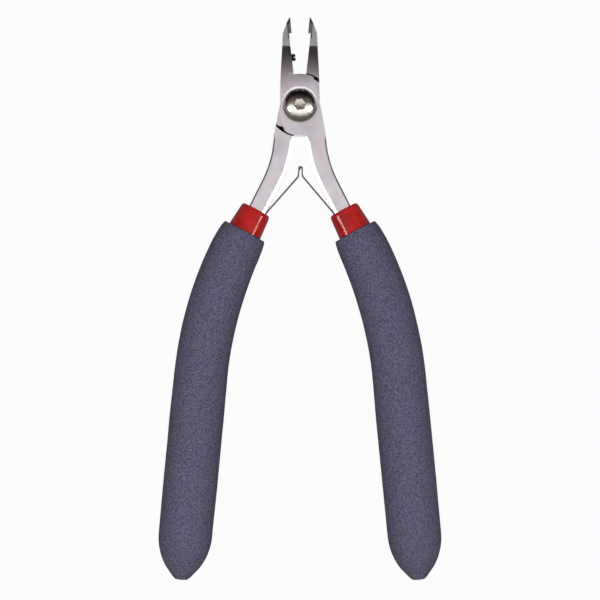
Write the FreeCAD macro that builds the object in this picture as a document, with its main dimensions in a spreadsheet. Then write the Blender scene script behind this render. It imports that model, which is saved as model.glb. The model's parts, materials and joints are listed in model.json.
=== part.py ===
import FreeCAD, Part
import math
import os
import Sketcher

# Angled tip cutters with long foam handles, lying open on their grips.
# Millimetres. +Y runs from the grips to the tips, +Z is the face with the pivot screw's head.
# Both levers are drawn closed, about the pivot, and each is then turned open by half the opening angle.
# A handle's own frame has its origin at the red sleeve's mouth and runs down the handle along -Y.

V = FreeCAD.Vector
doc = FreeCAD.newDocument("cutters")

SIZES = {
    # opening
    "open_half": 6.5,
    "edge_gap": 0.02,
    "running_gap": 0.05,
    # lap joint
    "joint_thick": 6.0,
    "boss_radius": 8.45,
    "boss_gap": 0.4,
    "boss_corner": 2.2,
    "lap_gap": 0.02,
    "joint_top_half": 4.35,
    "joint_jaw_half": 5.2,
    "joint_shank_half": 5.7,
    # jaws
    "jaw_root_y": 2.5,
    "jaw_top_y": 8.5,
    "scoop_start_y": 4.5,
    "jaw_slot_half": 0.75,
    "edge_length": 4.0,
    "shoulder_half": 2.5,
    "facet_half": 1.25,
    "facet_length": 1.7,
    "tip_y": 23.65,
    "tip_half": 0.2,
    "bend_y": 16.3,
    "bend_rise": 0.9,
    "beak_angle": 43,
    "heel_y": 15.2,
    "heel_round": 4,
    "tip_rise": 5.0,
    "tip_thick": 0.35,
    "bevel_width": 1.15,
    "bevel_depth": 0.95,
    "bevel_length": 5.1,
    # pivot screw and washer
    "shoulder_radius": 3.0,
    "thread_radius": 2.4,
    "head_radius": 4.1,
    "head_rim": 0.5,
    "head_rise": 1.7,
    "socket_across": 3.0,
    "socket_depth": 1.5,
    "socket_turn": 15,
    "washer_radius": 4.15,
    "washer_thick": 0.5,
    "recess_gap": 0.05,
    "recess_slope": 0.75,
    "recess_depth": 0.6,
    "recess_chamfer": 0.25,
    # stop screw
    "stop_y": 13.35,
    "stop_radius": 1.1,
    "stop_reach": 0.3,
    "stop_length": 3.6,
    "stop_drop": 0.3,
    "stop_socket": 0.45,
    # shanks and tangs
    "shank_inner": 0.76,
    "shank_width": 5.3,
    "shank_taper": 0.55,
    "crotch_gap": 0.15,
    "shank_drop": 10.7,
    "shank_bend_radius": 31.4,
    "shank_angle": 21.8,
    "shank_run": 8.0,
    "inner_chamfer": 0.8,
    "inner_chamfer_depth": 0.35,
    "outer_chamfer": 0.4,
    "chamfer_start": 0.05,
    "tang_tail": 38,
    # handle line
    "sleeve_lead": 6.4,
    "bow_radius": 107.4,
    "bow_turn": 22.8,
    "tail_length": 55.7,
    # red sleeves
    "sleeve_wall": 1.0,
    "sleeve_mouth_wall": 0.5,
    "sleeve_round": 0.45,
    "sleeve_tail": 40,
    # foam grips
    "grip_radius": 7.5,
    "grip_mouth_radius": 6.95,
    "grip_ease": 0.75,
    "grip_ease_length": 4,
    "nose_length": 12.5,
    "nose_end_radius": 1.6,
    "nose_round": 1.0,
    # springs
    "spring_thick": 0.38,
    "spring_width": 3.2,
    "spring_gap": 0.03,
    "foot_length": 5.4,
    "hinge_lift": 0.6,
    "leaf_length": 12.7,
    "left_flare": 13.1,
    "right_flare": 11.9,
    "elbow_length": 0.55,
    "elbow_turn": 10.5,
    "left_tab": 2.7,
    "right_tab": 2.1,
    "left_tab_turn": 25,
    "right_tab_turn": 29,
    "hook_length": 0.7,
    "hook_turn": 136,
    # spring rivets
    "rivet_place": 3.2,
    "rivet_radius": 0.7,
    "rivet_depth": 2.0,
    "rivet_head_radius": 1.2,
    "rivet_head_thick": 0.5,
}

LAYOUT = {
    "half_joint": "sizes.joint_thick / 2",
    "recess_outer": "sizes.boss_radius + sizes.boss_gap",
    "shank_start": "sizes.boss_radius + sizes.crotch_gap",
    "edge_start_y": "sizes.tip_y - sizes.edge_length",
    "facet_y": "sizes.tip_y - sizes.facet_length",
    "recess_floor": "sizes.washer_radius + sizes.recess_gap",
    "recess_radius": "recess_floor + sizes.recess_slope",
    "steel_corner": "sqrt((sizes.shank_width / 2 - sizes.outer_chamfer) ^ 2 + half_joint ^ 2)",
    "sleeve_radius": "steel_corner + sizes.sleeve_wall",
    "sleeve_mouth_radius": "steel_corner + sizes.sleeve_mouth_wall",
    "shank_offset": "sizes.shank_inner + sizes.shank_width / 2",
    "bend_x": "shank_offset + sizes.shank_bend_radius * (1 - cos(sizes.shank_angle))",
    "bend_y": "-sizes.shank_drop - sizes.shank_bend_radius * sin(sizes.shank_angle)",
    "mouth_x": "bend_x + sizes.shank_run * sin(sizes.shank_angle)",
    "mouth_y": "bend_y - sizes.shank_run * cos(sizes.shank_angle)",
    "lead_x": "mouth_x + sizes.sleeve_lead * sin(sizes.shank_angle)",
    "lead_y": "mouth_y - sizes.sleeve_lead * cos(sizes.shank_angle)",
    "tail_angle": "sizes.shank_angle - sizes.bow_turn",
    "tail_x": "lead_x + sizes.bow_radius * (cos(tail_angle) - cos(sizes.shank_angle))",
    "tail_y": "lead_y - sizes.bow_radius * (sin(sizes.shank_angle) - sin(tail_angle))",
    "nose_x": "tail_x + sizes.tail_length * sin(tail_angle)",
    "nose_y": "tail_y - sizes.tail_length * cos(tail_angle)",
    "nose_reach": "-(nose_x * sin(sizes.open_half) + nose_y * cos(sizes.open_half))",
    "tip_reach": "sizes.tip_y * cos(sizes.open_half)",
    "pivot_y": "(nose_reach - tip_reach) / 2",
    "mid_z": "sizes.grip_radius",
    "bow_drop": "sizes.bow_radius * sin(sizes.bow_turn)",
    "bow_shift": "sizes.bow_radius * (1 - cos(sizes.bow_turn))",
    "beak_peak": "sizes.bend_rise + (facet_y - sizes.bend_y) * tan(sizes.beak_angle)",
    "nose_drop_in": "sizes.grip_radius - sizes.nose_end_radius",
    "nose_arc": "(nose_drop_in ^ 2 + sizes.nose_length ^ 2) / (2 * nose_drop_in)",
    "head_base": "half_joint - sizes.recess_depth + sizes.running_gap + sizes.washer_thick",
    "head_arc": "(sizes.head_radius ^ 2 + sizes.head_rise ^ 2) / (2 * sizes.head_rise)",
    "foot_offset": "sizes.shank_width / 2 + sizes.spring_gap + sizes.spring_thick / 2",
    "foot_face": "sizes.shank_width / 2 + sizes.spring_gap + sizes.spring_thick",
    "stop_end": "sizes.stop_reach - sizes.stop_length",
    "heel_angle": "atan((half_joint + sizes.tip_rise) / (sizes.tip_y - sizes.heel_y))",
    "heel_tangent": "sizes.heel_round * tan(heel_angle / 2)",
    "scoop_run": "sizes.bend_y - sizes.scoop_start_y",
    "scoop_drop": "half_joint - sizes.bend_rise",
    "scoop_arc": "(scoop_run ^ 2 + scoop_drop ^ 2) / (2 * scoop_drop)",
}


def fill_sheet(name, cells, formula):
    """A sheet with one aliased cell for each entry."""
    sheet = doc.addObject("Spreadsheet::Sheet", name)
    for row, (alias, value) in enumerate(cells.items(), 1):
        sheet.set(f"A{row}", alias)
        sheet.set(f"B{row}", f"={value}" if formula else str(value))
        sheet.setAlias(f"B{row}", alias)
    doc.recompute()
    return sheet


fill_sheet("sizes", SIZES, False)
fill_sheet("layout", LAYOUT, True)


# Placements, written as expressions so that they follow the sheets.

def moved(x, y, z=0, angle=0, axis="0; 0; 1"):
    """A move to x, y, z and then a turn about an axis."""
    return f"placement(vector({x}; {y}; {z}); rotation(vector({axis}); {angle}))"


def lever_place(side):
    """A lever's closed frame, turned open; side is +1 for the lever with the right handle."""
    return moved(0, "layout.pivot_y", "layout.mid_z", f"{side} * sizes.open_half")


def handle_place(side):
    """The sleeve mouth's frame in its lever's closed frame."""
    return moved(f"{side} * layout.mouth_x", "layout.mouth_y", 0, f"{side} * sizes.shank_angle")


# Helpers for bodies, sketches and features.

def new_body(name, place):
    body = doc.addObject("PartDesign::Body", name)
    body.Label = name
    body.setExpression("Placement", place)
    return body


def sketch_on(body, name, plane="XY_Plane", offset=None):
    """A sketch on one of its own body's origin planes."""
    planes = {feature.Role: feature for feature in body.Origin.OriginFeatures}
    sketch = body.newObject("Sketcher::SketchObject", f"{body.Name}_{name}")
    sketch.AttachmentSupport = (planes[plane], [""])
    sketch.MapMode = "FlatFace"
    if offset:
        sketch.setExpression("AttachmentOffset", offset)
    return sketch


def bind(sketch, kind, *where, size):
    """A constraint whose value is an expression."""
    number = sketch.addConstraint(Sketcher.Constraint(kind, *where, float(sketch.evalExpression(size))))
    sketch.setExpression(f"Constraints[{number}]", size)


def arc_between(start, end, radius, turn):
    """The short arc from start to end; turn is +1 for anticlockwise travel."""
    chord = end.sub(start)
    half = chord.Length / 2
    across = V(-chord.y, chord.x, 0).normalize() * (turn * math.sqrt(radius ** 2 - half ** 2))
    centre = start.add(end).multiply(0.5).add(across)
    first, last = (start, end) if turn > 0 else (end, start)
    from_angle = math.atan2(first.y - centre.y, first.x - centre.x)
    to_angle = math.atan2(last.y - centre.y, last.x - centre.x)
    if to_angle < from_angle:
        to_angle += 2 * math.pi
    return Part.ArcOfCircle(Part.Circle(centre, V(0, 0, 1), radius), from_angle, to_angle)


def trace(sketch, corners, arcs=None, closed=True):
    """Straight edges and arcs through the corners, each corner held by two expressions.

    arcs gives, for an edge's number, the expression of its radius and its turn.
    """
    arcs = arcs or {}
    corners = [(str(x), str(y)) for x, y in corners]
    points = [V(float(sketch.evalExpression(x)), float(sketch.evalExpression(y)), 0) for x, y in corners]
    base = sketch.GeometryCount
    count = len(corners) if closed else len(corners) - 1
    ends = []
    for number in range(count):
        start = points[number]
        end = points[(number + 1) % len(points)]
        if number in arcs:
            radius, turn = arcs[number]
            sketch.addGeometry(arc_between(start, end, float(sketch.evalExpression(radius)), turn))
            ends.append((1, 2) if turn > 0 else (2, 1))
        else:
            sketch.addGeometry(Part.LineSegment(start, end))
            ends.append((1, 2))
    for number in range(count):
        following = (number + 1) % count
        if closed or following:
            sketch.addConstraint(Sketcher.Constraint(
                "Coincident", base + number, ends[number][1], base + following, ends[following][0]))
        bind(sketch, "DistanceX", -1, 1, base + number, ends[number][0], size=corners[number][0])
        bind(sketch, "DistanceY", -1, 1, base + number, ends[number][0], size=corners[number][1])
        if number in arcs:
            bind(sketch, "Radius", base + number, size=arcs[number][0])
    if not closed:
        bind(sketch, "DistanceX", -1, 1, base + count - 1, ends[-1][1], size=corners[-1][0])
        bind(sketch, "DistanceY", -1, 1, base + count - 1, ends[-1][1], size=corners[-1][1])
    return sketch


def ring(sketch, radius, x="0", y="0"):
    """A circle whose centre and radius are expressions."""
    x, y = str(x), str(y)
    centre = V(float(sketch.evalExpression(x)), float(sketch.evalExpression(y)), 0)
    number = sketch.addGeometry(Part.Circle(centre, V(0, 0, 1), float(sketch.evalExpression(radius))))
    bind(sketch, "Radius", number, size=radius)
    bind(sketch, "DistanceX", -1, 1, number, 3, size=x)
    bind(sketch, "DistanceY", -1, 1, number, 3, size=y)
    return sketch


def feature(body, kind, name, sketch, **settings):
    """A sketch-based feature; a text setting that names a size is an expression."""
    made = body.newObject(f"PartDesign::{kind}", f"{body.Name}_{name}")
    made.Profile = sketch
    for key, value in settings.items():
        if key == "Length" or key == "Angle":
            made.setExpression(key, value)
        else:
            setattr(made, key, value)
    doc.recompute()
    return made


def cut(body, kind, name, sketch, **settings):
    """A cutting feature, refused when it takes nothing away."""
    before = body.Shape.Volume
    made = feature(body, kind, name, sketch, **settings)
    if not made.Shape.Volume < before - 1e-6:
        raise RuntimeError(f"{made.Name} cuts nothing")
    return made


def turned(body, kind, name, profile):
    """A full turn of a profile about its sketch's upright axis."""
    made = body.newObject(f"PartDesign::{kind}", f"{body.Name}_{name}")
    made.Profile = profile
    made.ReferenceAxis = (profile, ["V_Axis"])
    made.Angle = 360
    doc.recompute()
    return made


def pipe(body, kind, name, profile, spine, sections=None):
    """A sweep of a profile along a spine sketch, through further sections where they are given."""
    made = body.newObject(f"PartDesign::{kind}", f"{body.Name}_{name}")
    made.Profile = profile
    made.Spine = spine
    if sections:
        made.Transformation = "Multisection"
        made.Sections = sections
    doc.recompute()
    return made


def dress_end(body, kind, name, at_nose, **sizes):
    """A fillet or chamfer on the round edge at one end of a body that lies along its own -Y."""
    base = body.Tip
    rounds = [(edge.CenterOfMass.y, f"Edge{number}")
              for number, edge in enumerate(base.Shape.Edges, 1) if edge.isClosed()]
    made = body.newObject(f"PartDesign::{kind}", f"{body.Name}_{name}")
    made.Base = (base, [min(rounds)[1] if at_nose else max(rounds)[1]])
    if kind == "Chamfer":
        made.ChamferType = "Two distances"
    for key, value in sizes.items():
        made.setExpression(key, value)
    doc.recompute()
    return made


# Sections and lines that several pieces share.

def steel_section(body, name, side, offset, share="1", taper="0"):
    """The shank's section: flat faces, a wide chamfer inside the handles and a narrow one outside."""
    thin = (f"sizes.outer_chamfer * {share}",) * 2
    wide = (f"sizes.inner_chamfer * {share}", f"sizes.inner_chamfer_depth * {share}")
    half, face = "sizes.shank_width / 2", "layout.half_joint"
    corners = []
    for x_sign, y_sign, (across, down) in ((1, -1, thin), (1, 1, thin), (-1, 1, wide), (-1, -1, wide)):
        reach = f"({half} - {taper})" if x_sign > 0 else f"({half})"
        on_side = (f"{side * x_sign} * {reach}", f"{y_sign} * ({face} - {down})")
        on_face = (f"{side * x_sign} * ({reach} - {across})", f"{y_sign} * {face}")
        corners += [on_face, on_side] if x_sign * y_sign < 0 else [on_side, on_face]
    return trace(sketch_on(body, name, "XY_Plane", offset), corners)


def handle_line(body, name, side, tail, lead=True, place=None):
    """The handle's centre line from the sleeve's mouth: a straight lead, a long bow and a straight tail."""
    start = "0" if lead else "-sizes.sleeve_lead"
    bow_end = (f"-{side} * layout.bow_shift", "-sizes.sleeve_lead - layout.bow_drop")
    corners = [("0", start)] if lead else []
    corners += [("0", "-sizes.sleeve_lead"), bow_end]
    corners += [(f"{bow_end[0]} - {side} * ({tail}) * sin(sizes.bow_turn)",
                 f"{bow_end[1]} - ({tail}) * cos(sizes.bow_turn)")]
    arcs = {1 if lead else 0: ("sizes.bow_radius", -side)}
    return trace(sketch_on(body, name, "XY_Plane", place), corners, arcs, closed=False)


SECTION_TURN = moved(0, 0, 0, 90, "1; 0; 0")


# The two levers, which differ in which half of the lap each one has.

def make_lever(name, side):
    """side is +1 for the front lever, whose handle is on the right and whose lap half is the upper one."""
    body = new_body(name, lever_place(side))
    jaw = -side

    # the lap half: a disc whose two sides follow the joint's outline
    lap = ring(sketch_on(body, "lap", offset=moved(0, 0, f"{side} * sizes.lap_gap")), "sizes.boss_radius")
    feature(body, "Pad", "lap_pad", lap, Length="layout.half_joint - sizes.lap_gap", Reversed=side < 0)
    sides = sketch_on(body, "sides")
    far = "2 * sizes.boss_radius"
    corner_y = "-sqrt(sizes.boss_radius ^ 2 - (sizes.joint_jaw_half - sizes.boss_corner / 3) ^ 2)"
    trace(sides, [
        (f"{jaw} * sizes.joint_top_half", "sizes.jaw_top_y"),
        (f"{jaw} * sizes.joint_jaw_half", "sizes.jaw_root_y"),
        (f"{jaw} * sizes.joint_jaw_half", f"{corner_y} + sizes.boss_corner"),
        (f"{jaw} * (sizes.joint_jaw_half - sizes.boss_corner / 3)", f"{corner_y}"),
        (f"{jaw} * (sizes.joint_jaw_half - sizes.boss_corner / 3)", f"-{far}"),
        (f"{jaw} * {far}", f"-{far}"),
        (f"{jaw} * {far}", "sizes.jaw_top_y"),
    ])
    trace(sides, [
        (f"{side} * sizes.joint_top_half", "sizes.jaw_top_y"),
        (f"{side} * sizes.joint_shank_half", "-sizes.jaw_root_y"),
        (f"{side} * (layout.shank_offset + sizes.shank_width / 2)", "-sizes.boss_radius"),
        (f"{side} * {far}", "-sizes.boss_radius"),
        (f"{side} * {far}", "sizes.jaw_top_y"),
    ])
    cut(body, "Pocket", "sides_cut", sides, Type="ThroughAll", SideType="Symmetric")

    # the jaw: its outline from above, then its outline from the side
    jaw_plan = sketch_on(body, "jaw", offset=moved(0, 0, "-layout.half_joint"))
    trace(jaw_plan, [
        (f"{jaw} * sizes.jaw_slot_half", "0"),
        (f"{jaw} * sizes.jaw_slot_half", "layout.edge_start_y"),
        (f"{jaw} * sizes.edge_gap", "layout.edge_start_y"),
        (f"{jaw} * sizes.edge_gap", "sizes.tip_y"),
        (f"{jaw} * sizes.tip_half", "sizes.tip_y"),
        (f"{jaw} * sizes.facet_half", "layout.facet_y"),
        (f"{jaw} * sizes.shoulder_half", "layout.edge_start_y"),
        (f"{jaw} * sizes.joint_top_half", "sizes.jaw_top_y"),
        (f"{jaw} * sizes.joint_jaw_half", "sizes.jaw_root_y"),
        (f"{jaw} * sizes.joint_jaw_half", "0"),
    ])
    feature(body, "Pad", "jaw_pad", jaw_plan, Length="2 * sizes.joint_thick + sizes.tip_rise")
    high = "3 * sizes.joint_thick"
    front = trace(sketch_on(body, "jaw_front", "YZ_Plane"), [
        ("-sizes.jaw_root_y", "layout.half_joint"),
        ("sizes.scoop_start_y", "layout.half_joint"),
        ("sizes.bend_y", "sizes.bend_rise"),
        ("layout.facet_y", "layout.beak_peak"),
        ("sizes.tip_y", "sizes.tip_rise + sizes.tip_thick"),
        ("2 * sizes.tip_y", "sizes.tip_rise + sizes.tip_thick"),
        ("2 * sizes.tip_y", high),
        ("-sizes.jaw_root_y", high),
    ], {1: ("layout.scoop_arc", -1)})
    cut(body, "Pocket", "jaw_front_cut", front, Type="ThroughAll", SideType="Symmetric")
    back = trace(sketch_on(body, "jaw_back", "YZ_Plane"), [
        ("sizes.jaw_top_y", "-layout.half_joint"),
        ("sizes.heel_y - layout.heel_tangent", "-layout.half_joint"),
        ("sizes.heel_y + layout.heel_tangent * cos(layout.heel_angle)",
         "-layout.half_joint + layout.heel_tangent * sin(layout.heel_angle)"),
        ("sizes.tip_y", "sizes.tip_rise"),
        ("2 * sizes.tip_y", "sizes.tip_rise"),
        ("2 * sizes.tip_y", f"-{high}"),
        ("sizes.jaw_top_y", f"-{high}"),
    ], {1: ("sizes.heel_round", 1)})
    cut(body, "Pocket", "jaw_back_cut", back, Type="ThroughAll", SideType="Symmetric")

    # the bevel that leaves the cutting edge, cut back along the beak's slope
    bevel = sketch_on(body, "bevel", offset=moved(
        0, "layout.facet_y", "layout.beak_peak", "sizes.beak_angle - 90", "1; 0; 0"))
    trace(bevel, [
        (f"{jaw} * sizes.edge_gap", "sizes.bevel_depth"),
        (f"{jaw} * sizes.bevel_width", "0"),
        (f"{jaw} * sizes.bevel_width", "-sizes.bevel_depth"),
        (f"-{jaw} * sizes.bevel_width", "-sizes.bevel_depth"),
        (f"-{jaw} * sizes.bevel_width", "sizes.bevel_depth"),
    ])
    cut(body, "Pocket", "bevel_cut", bevel, Length="sizes.bevel_length")

    # the shoulder that joins the lap half to the shank, then the shank and the tang hidden in the handle
    shank_side = f"{side} * (layout.shank_offset + sizes.shank_width / 2)"
    shoulder = trace(sketch_on(body, "shoulder"), [
        (f"{side} * sizes.shank_inner", "-sizes.jaw_root_y"),
        (f"{side} * sizes.joint_shank_half", "-sizes.jaw_root_y"),
        (shank_side, "-sizes.boss_radius"),
        (shank_side, "-layout.shank_start"),
        (f"{side} * sizes.shank_inner", "-layout.shank_start"),
    ])
    feature(body, "Pad", "shoulder_pad", shoulder, Length="sizes.joint_thick", SideType="Symmetric")
    start = moved(f"{side} * layout.shank_offset", "-layout.shank_start")
    square = steel_section(body, "square_section", side, f"{start} * {SECTION_TURN}", "sizes.chamfer_start")
    straight_end = moved(f"{side} * layout.shank_offset", "-sizes.shank_drop")
    section = steel_section(body, "shank_section", side, f"{straight_end} * {SECTION_TURN}")
    feature(body, "AdditiveLoft", "shank_root", square, Sections=[section], Ruled=True)
    shank_line = trace(sketch_on(body, "shank_line"), [
        (f"{side} * layout.shank_offset", "-sizes.shank_drop"),
        (f"{side} * layout.bend_x", "layout.bend_y"),
        (f"{side} * layout.mouth_x", "layout.mouth_y"),
    ], {0: ("sizes.shank_bend_radius", side)}, closed=False)
    tang_place = handle_place(side)
    mouth_section = steel_section(body, "mouth_section", side, f"{tang_place} * {SECTION_TURN}",
                                  taper="sizes.shank_taper")
    pipe(body, "AdditivePipe", "shank", section, shank_line, sections=[mouth_section])
    tang_section = steel_section(body, "tang_section", side, f"{tang_place} * {SECTION_TURN}",
                                 taper="sizes.shank_taper")
    tang_line = handle_line(body, "tang_line", side, "sizes.tang_tail", place=tang_place)
    pipe(body, "AdditivePipe", "tang", tang_section, tang_line)

    # room for the other lever's lap half
    room = ring(sketch_on(body, "lap_room", offset=moved(0, 0, f"{side} * sizes.lap_gap")),
                "layout.recess_outer")
    cut(body, "Pocket", "lap_room_cut", room, Length="sizes.joint_thick", Reversed=side < 0)
    return body


def bore(body, name, radius):
    """A hole through the joint on the pivot's axis."""
    hole = ring(sketch_on(body, name), radius)
    cut(body, "Pocket", f"{name}_cut", hole, Type="ThroughAll", SideType="Symmetric")


def make_front_lever():
    body = make_lever("front_lever", 1)
    bore(body, "shoulder_bore", "sizes.shoulder_radius + sizes.running_gap")
    recess = trace(sketch_on(body, "recess", "XZ_Plane"), [
        ("0", "layout.half_joint - sizes.recess_depth"),
        ("layout.recess_floor", "layout.half_joint - sizes.recess_depth"),
        ("layout.recess_floor", "layout.half_joint - sizes.recess_chamfer"),
        ("layout.recess_radius", "layout.half_joint"),
        ("layout.recess_radius", "layout.half_joint + sizes.recess_depth"),
        ("0", "layout.half_joint + sizes.recess_depth"),
    ])
    turned(body, "Groove", "recess_cut", recess)
    hole = ring(sketch_on(body, "stop_hole", "YZ_Plane"), "sizes.stop_radius", "sizes.stop_y",
                "-sizes.stop_drop")
    cut(body, "Pocket", "stop_hole_cut", hole, Type="ThroughAll", SideType="Symmetric")
    rivet_hole(body, 1)
    return body


def make_back_lever():
    body = make_lever("back_lever", -1)
    bore(body, "thread_bore", "sizes.thread_radius")
    rivet_hole(body, -1)
    return body


def side_sketch(body, name, side, radius, place="placement(vector(0; 0; 0); rotation(vector(0; 0; 1); 0))"):
    """A circle on the shank's inner face, with its normal pointing in towards the other handle."""
    inward = moved(f"-{side} * sizes.shank_width / 2", "-sizes.rivet_place", 0, f"-{side} * 90", "0; 1; 0")
    return ring(sketch_on(body, name, "XY_Plane", f"{place} * {inward}"), radius)


def rivet_hole(body, side):
    """The blind hole for a spring's rivet."""
    hole = side_sketch(body, "rivet_hole", side, "sizes.rivet_radius", handle_place(side))
    cut(body, "Pocket", "rivet_hole_cut", hole, Length="sizes.rivet_depth")


# Pivot screw, its washer and the stop screw.

def make_pivot_screw():
    body = new_body("pivot_screw", lever_place(-1))
    top = "layout.head_base + sizes.head_rim"
    profile = trace(sketch_on(body, "profile", "XZ_Plane"), [
        ("0", "-layout.half_joint"),
        ("sizes.thread_radius", "-layout.half_joint"),
        ("sizes.thread_radius", "0"),
        ("sizes.shoulder_radius", "0"),
        ("sizes.shoulder_radius", "layout.head_base"),
        ("sizes.head_radius", "layout.head_base"),
        ("sizes.head_radius", top),
        ("0", f"{top} + sizes.head_rise"),
    ], {6: ("layout.head_arc", 1)})
    turned(body, "Revolution", "turning", profile)
    socket = sketch_on(body, "socket", offset=moved(
        0, 0, f"{top} + sizes.head_rise - sizes.socket_depth", "sizes.socket_turn"))
    corner = "sizes.socket_across / sqrt(3)"
    trace(socket, [(f"{corner} * cos({step * 60})", f"{corner} * sin({step * 60})") for step in range(6)])
    cut(body, "Pocket", "socket_cut", socket, Length="2 * sizes.socket_depth", Reversed=True)
    return body


def make_pivot_washer():
    body = new_body("pivot_washer", lever_place(-1))
    under = moved(0, 0, "layout.head_base - sizes.washer_thick")
    flat = sketch_on(body, "flat", offset=under)
    ring(flat, "sizes.washer_radius")
    ring(flat, "sizes.shoulder_radius")
    feature(body, "Pad", "flat_pad", flat, Length="sizes.washer_thick")
    return body


def make_stop_screw():
    body = new_body("stop_screw", lever_place(1))
    stem = ring(sketch_on(body, "stem", "YZ_Plane", moved(0, 0, "layout.stop_end")),
                "sizes.stop_radius", "sizes.stop_y", "-sizes.stop_drop")
    feature(body, "Pad", "stem_pad", stem, Length="sizes.stop_length")
    socket = ring(sketch_on(body, "stop_socket", "YZ_Plane", moved(0, 0, "layout.stop_end")),
                  "sizes.stop_socket", "sizes.stop_y", "-sizes.stop_drop")
    cut(body, "Pocket", "stop_socket_cut", socket, Length="sizes.stop_length / 4", Reversed=True)
    return body


# Handles: each side has a red sleeve, a foam grip, a spring in two parts and the spring's rivet.

def make_sleeve(name, side):
    """Dipped sleeve: a rounded, tapered mouth and a round run that fills the grip's bore."""
    body = new_body(name, f"{lever_place(side)} * {handle_place(side)}")
    mouth = trace(sketch_on(body, "mouth"), [
        ("0", "0"),
        ("layout.sleeve_mouth_radius - sizes.sleeve_round", "0"),
        ("layout.sleeve_mouth_radius", "-sizes.sleeve_round"),
        ("layout.sleeve_radius", "-sizes.sleeve_lead"),
        ("0", "-sizes.sleeve_lead"),
    ], {1: ("sizes.sleeve_round", -1)})
    turned(body, "Revolution", "mouth_turning", mouth)
    start = moved(0, "-sizes.sleeve_lead")
    run = ring(sketch_on(body, "run", "XY_Plane", f"{start} * {SECTION_TURN}"), "layout.sleeve_radius")
    pipe(body, "AdditivePipe", "run_pipe", run, handle_line(body, "run_line", side, "sizes.sleeve_tail",
                                                            lead=False))
    # the room that the steel, the spring's foot and the rivet's head take
    section = steel_section(body, "steel_section", side, SECTION_TURN, taper="sizes.shank_taper")
    pipe(body, "SubtractivePipe", "steel_room", section,
         handle_line(body, "steel_line", side, "sizes.tang_tail"))
    inner = f"-{side}"
    foot = trace(sketch_on(body, "foot_room"), [
        (f"{inner} * (sizes.shank_width / 2 - sizes.spring_gap)", "sizes.hinge_lift"),
        (f"{inner} * layout.foot_face", "sizes.hinge_lift"),
        (f"{inner} * layout.foot_face", "-sizes.foot_length"),
        (f"{inner} * (sizes.shank_width / 2 - sizes.spring_gap)", "-sizes.foot_length"),
    ])
    cut(body, "Pocket", "foot_room_cut", foot, Length="sizes.spring_width", SideType="Symmetric")
    head = side_sketch(body, "head_room", side, "sizes.rivet_head_radius")
    cut(body, "Pocket", "head_room_cut", head, Reversed=True,
        Length="sizes.spring_gap + sizes.spring_thick + sizes.rivet_head_thick")
    return body


def make_grip(name, side):
    """Foam grip: a sleeve that follows the handle's bow and ends in a blunt pointed nose."""
    body = new_body(name, f"{lever_place(side)} * {handle_place(side)}")
    start = moved(0, "-sizes.sleeve_lead")
    tail = "sizes.tail_length - sizes.nose_length"
    tail_frame = (f"{moved(f'-{side} * layout.bow_shift', '-sizes.sleeve_lead - layout.bow_drop', 0)}"
                  f" * {moved(0, 0, 0, f'-{side} * sizes.bow_turn')}")
    narrow = ring(sketch_on(body, "narrow", "XY_Plane", f"{start} * {SECTION_TURN}"),
                  "sizes.grip_mouth_radius")
    wide = ring(sketch_on(body, "wide", "XY_Plane", f"{tail_frame} * {SECTION_TURN}"), "sizes.grip_radius")
    bow = trace(sketch_on(body, "bow_line"), [
        ("0", "-sizes.sleeve_lead"),
        (f"-{side} * layout.bow_shift", "-sizes.sleeve_lead - layout.bow_drop"),
    ], {0: ("sizes.bow_radius", -side)}, closed=False)
    pipe(body, "AdditivePipe", "bow", narrow, bow, sections=[wide])
    butt = ring(sketch_on(body, "butt", "XY_Plane", f"{tail_frame} * {SECTION_TURN}"), "sizes.grip_radius")
    feature(body, "Pad", "tail_pad", butt, Length=tail)
    nose = trace(sketch_on(body, "nose", "XY_Plane", f"{tail_frame} * {moved(0, f'-({tail})')}"), [
        ("0", "-sizes.nose_length"),
        ("sizes.nose_end_radius", "-sizes.nose_length"),
        ("sizes.grip_radius", "0"),
        ("0", "0"),
    ], {1: ("layout.nose_arc", 1)})
    turned(body, "Revolution", "nose_turning", nose)
    dress_end(body, "Fillet", "nose_round", True, Radius="sizes.nose_round")
    dress_end(body, "Chamfer", "mouth_ease", False, Size="sizes.grip_ease", Size2="sizes.grip_ease_length")
    bore_ring = ring(sketch_on(body, "bore", "XY_Plane", f"{start} * {SECTION_TURN}"), "layout.sleeve_radius")
    pipe(body, "SubtractivePipe", "bore_room", bore_ring,
         handle_line(body, "bore_line", side, "sizes.sleeve_tail", lead=False))
    return body


def spring_frame(side):
    """The point at a handle's mouth about which its spring bends."""
    return (f"{lever_place(side)} * {handle_place(side)}"
            f" * {moved(f'-{side} * layout.foot_offset', 'sizes.hinge_lift')}")


def strip(body, name, place, length, start="0"):
    """A straight run of spring strip along +Y of a place, with a round far end."""
    half = "sizes.spring_thick / 2"
    run = trace(sketch_on(body, f"{name}_run", "XY_Plane", place), [
        (f"-{half}", start),
        (half, start),
        (half, length),
        (f"-{half}", length),
    ])
    feature(body, "Pad", f"{name}_pad", run, Length="sizes.spring_width", SideType="Symmetric")


def knuckle(body, name, place):
    """The round of a bend in the strip."""
    feature(body, "Pad", f"{name}_pad", ring(sketch_on(body, name, "XY_Plane", place),
                                             "sizes.spring_thick / 2"),
            Length="sizes.spring_width", SideType="Symmetric")


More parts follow.
